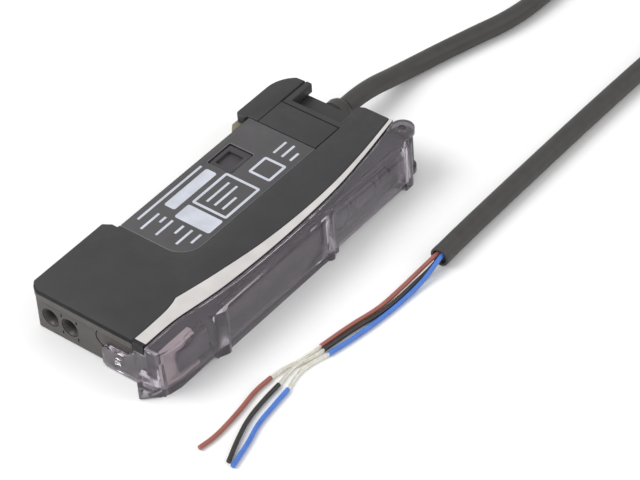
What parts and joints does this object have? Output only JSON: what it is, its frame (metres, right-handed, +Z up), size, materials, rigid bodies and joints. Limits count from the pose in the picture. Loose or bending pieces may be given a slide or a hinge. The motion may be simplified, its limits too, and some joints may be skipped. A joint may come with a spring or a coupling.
{
  "type": "fibre optic sensor amplifier",
  "caption": "Slim fibre optic sensor amplifier for a mounting rail, with a hinged clear cover over its display and keys, a sprung rail latch and a stripped connection cable.",
  "frame": {"origin": "middle of the underside of the object without its cord: halfway between the cover's finger tab and the strain relief, and halfway between the cover's ridges and the rail side", "axes": "+X along the housing from the fibre end to the cable end, +Y to the side that takes the rail, +Z up through the thickness to the face with the label"},
  "size_m": [0.2138, 0.0637, 0.0167],
  "materials": {
    "dark_plastic": "fine matt",
    "end_face_plastic": "fine matt",
    "light_band_plastic": "satin",
    "label_film": "satin",
    "infrared_window": "polished",
    "smoke_clear_plastic": "polished, see-through",
    "key_plastic": "satin",
    "circuit_board": "satin",
    "black_component": "satin",
    "spring_steel": "bright",
    "claw_acetal": "satin",
    "fibre_bush_plastic": "satin",
    "cable_jacket": "matt",
    "coil_tie": "satin",
    "brown_insulation": "satin",
    "black_insulation": "satin",
    "blue_insulation": "satin",
    "tinned_strands": "stranded, tinned copper"
  },
  "bodies": {
    "housing": {"case": "end_face_plastic", "end_insert": "end_face_plastic", "case_lid": "dark_plastic", "label_film": "label_film", "label_side_window": "infrared_window", "far_side_window": "infrared_window", "latch_housing": "dark_plastic", "claw_spring": "spring_steel", "emitter_fibre_bush": "fibre_bush_plastic", "receiver_fibre_bush": "fibre_bush_plastic", "emitter_block": "black_component", "receiver_block": "black_component", "emitter_chip": "smoke_clear_plastic", "receiver_chip": "smoke_clear_plastic", "main_board": "circuit_board", "controller": "black_component", "supply_choke": "black_component", "key_board": "circuit_board", "tune_switch": "black_component", "down_switch": "black_component", "up_switch": "black_component", "mode_switch": "black_component", "panel_frame": "light_band_plastic", "key_plate": "key_plastic", "display_module": "black_component", "display_window": "infrared_window", "lever_pin": "spring_steel", "hinge_pin": "spring_steel", "cable_gland": "cable_jacket", "cable_lead": "cable_jacket", "cable_coil": "cable_jacket", "cable_tail": "cable_jacket", "coil_tie": "coil_tie", "brown_wire": "brown_insulation", "brown_strands": "tinned_strands", "brown_slug": "brown_insulation", "black_wire": "black_insulation", "black_strands": "tinned_strands", "black_slug": "black_insulation", "blue_wire": "blue_insulation", "blue_strands": "tinned_strands", "blue_slug": "blue_insulation"},
    "cover": {"protective_cover": "smoke_clear_plastic"},
    "lever": {"lock_lever": "key_plastic"},
    "clamp": {"fibre_clamp": "light_band_plastic"},
    "claw": {"rail_claw": "claw_acetal"},
    "tune": {"tune_button": "key_plastic"},
    "up_down": {"up_down_key": "key_plastic"},
    "mode": {"mode_button": "key_plastic"}
  },
  "joints": [
    {"name": "cover_hinge", "type": "hinge", "parent": "housing", "child": "cover", "pos_m": [0.0352, -0.0115, 0.005], "axis": [0, 0, 1], "range_deg": [0, 180], "deforming": ["cable_tail", "brown_wire", "brown_strands", "brown_slug", "black_wire", "black_strands", "black_slug", "blue_wire", "blue_strands", "blue_slug"]},
    {"name": "lever_hinge", "type": "hinge", "parent": "housing", "child": "lever", "pos_m": [-0.0241, -0.01265, 0.005], "axis": [0, 0, 1], "range_deg": [0, 60]},
    {"name": "clamp_slide", "type": "slide", "parent": "housing", "child": "clamp", "axis": [0, -1, 0], "range_m": [0, 0.0006]},
    {"name": "claw_slide", "type": "slide", "parent": "housing", "child": "claw", "axis": [1, 0, 0], "range_m": [0, 0.0022], "stiffness_N_per_m": 600, "springref_m": -0.001, "deforming": ["claw_spring"]},
    {"name": "tune_press", "type": "slide", "parent": "housing", "child": "tune", "axis": [0, 1, 0], "range_m": [0, 0.0003], "stiffness_N_per_m": 1500, "springref_m": -0.0003},
    {"name": "mode_press", "type": "slide", "parent": "housing", "child": "mode", "axis": [0, 1, 0], "range_m": [0, 0.0003], "stiffness_N_per_m": 1500, "springref_m": -0.0003},
    {"name": "up_down_rock", "type": "hinge", "parent": "housing", "child": "up_down", "pos_m": [0.0209, -0.01205, 0.005], "axis": [0, 0, 1], "range_deg": [-5, 5], "stiffness_Nm_per_rad": 0.02}
  ],
  "couplings": [
    {"joint": "lever_hinge", "follows": "cover_hinge", "ratio": 0.33333},
    {"joint": "clamp_slide", "follows": "cover_hinge", "m_per_rad": 0.00019097}
  ]
}
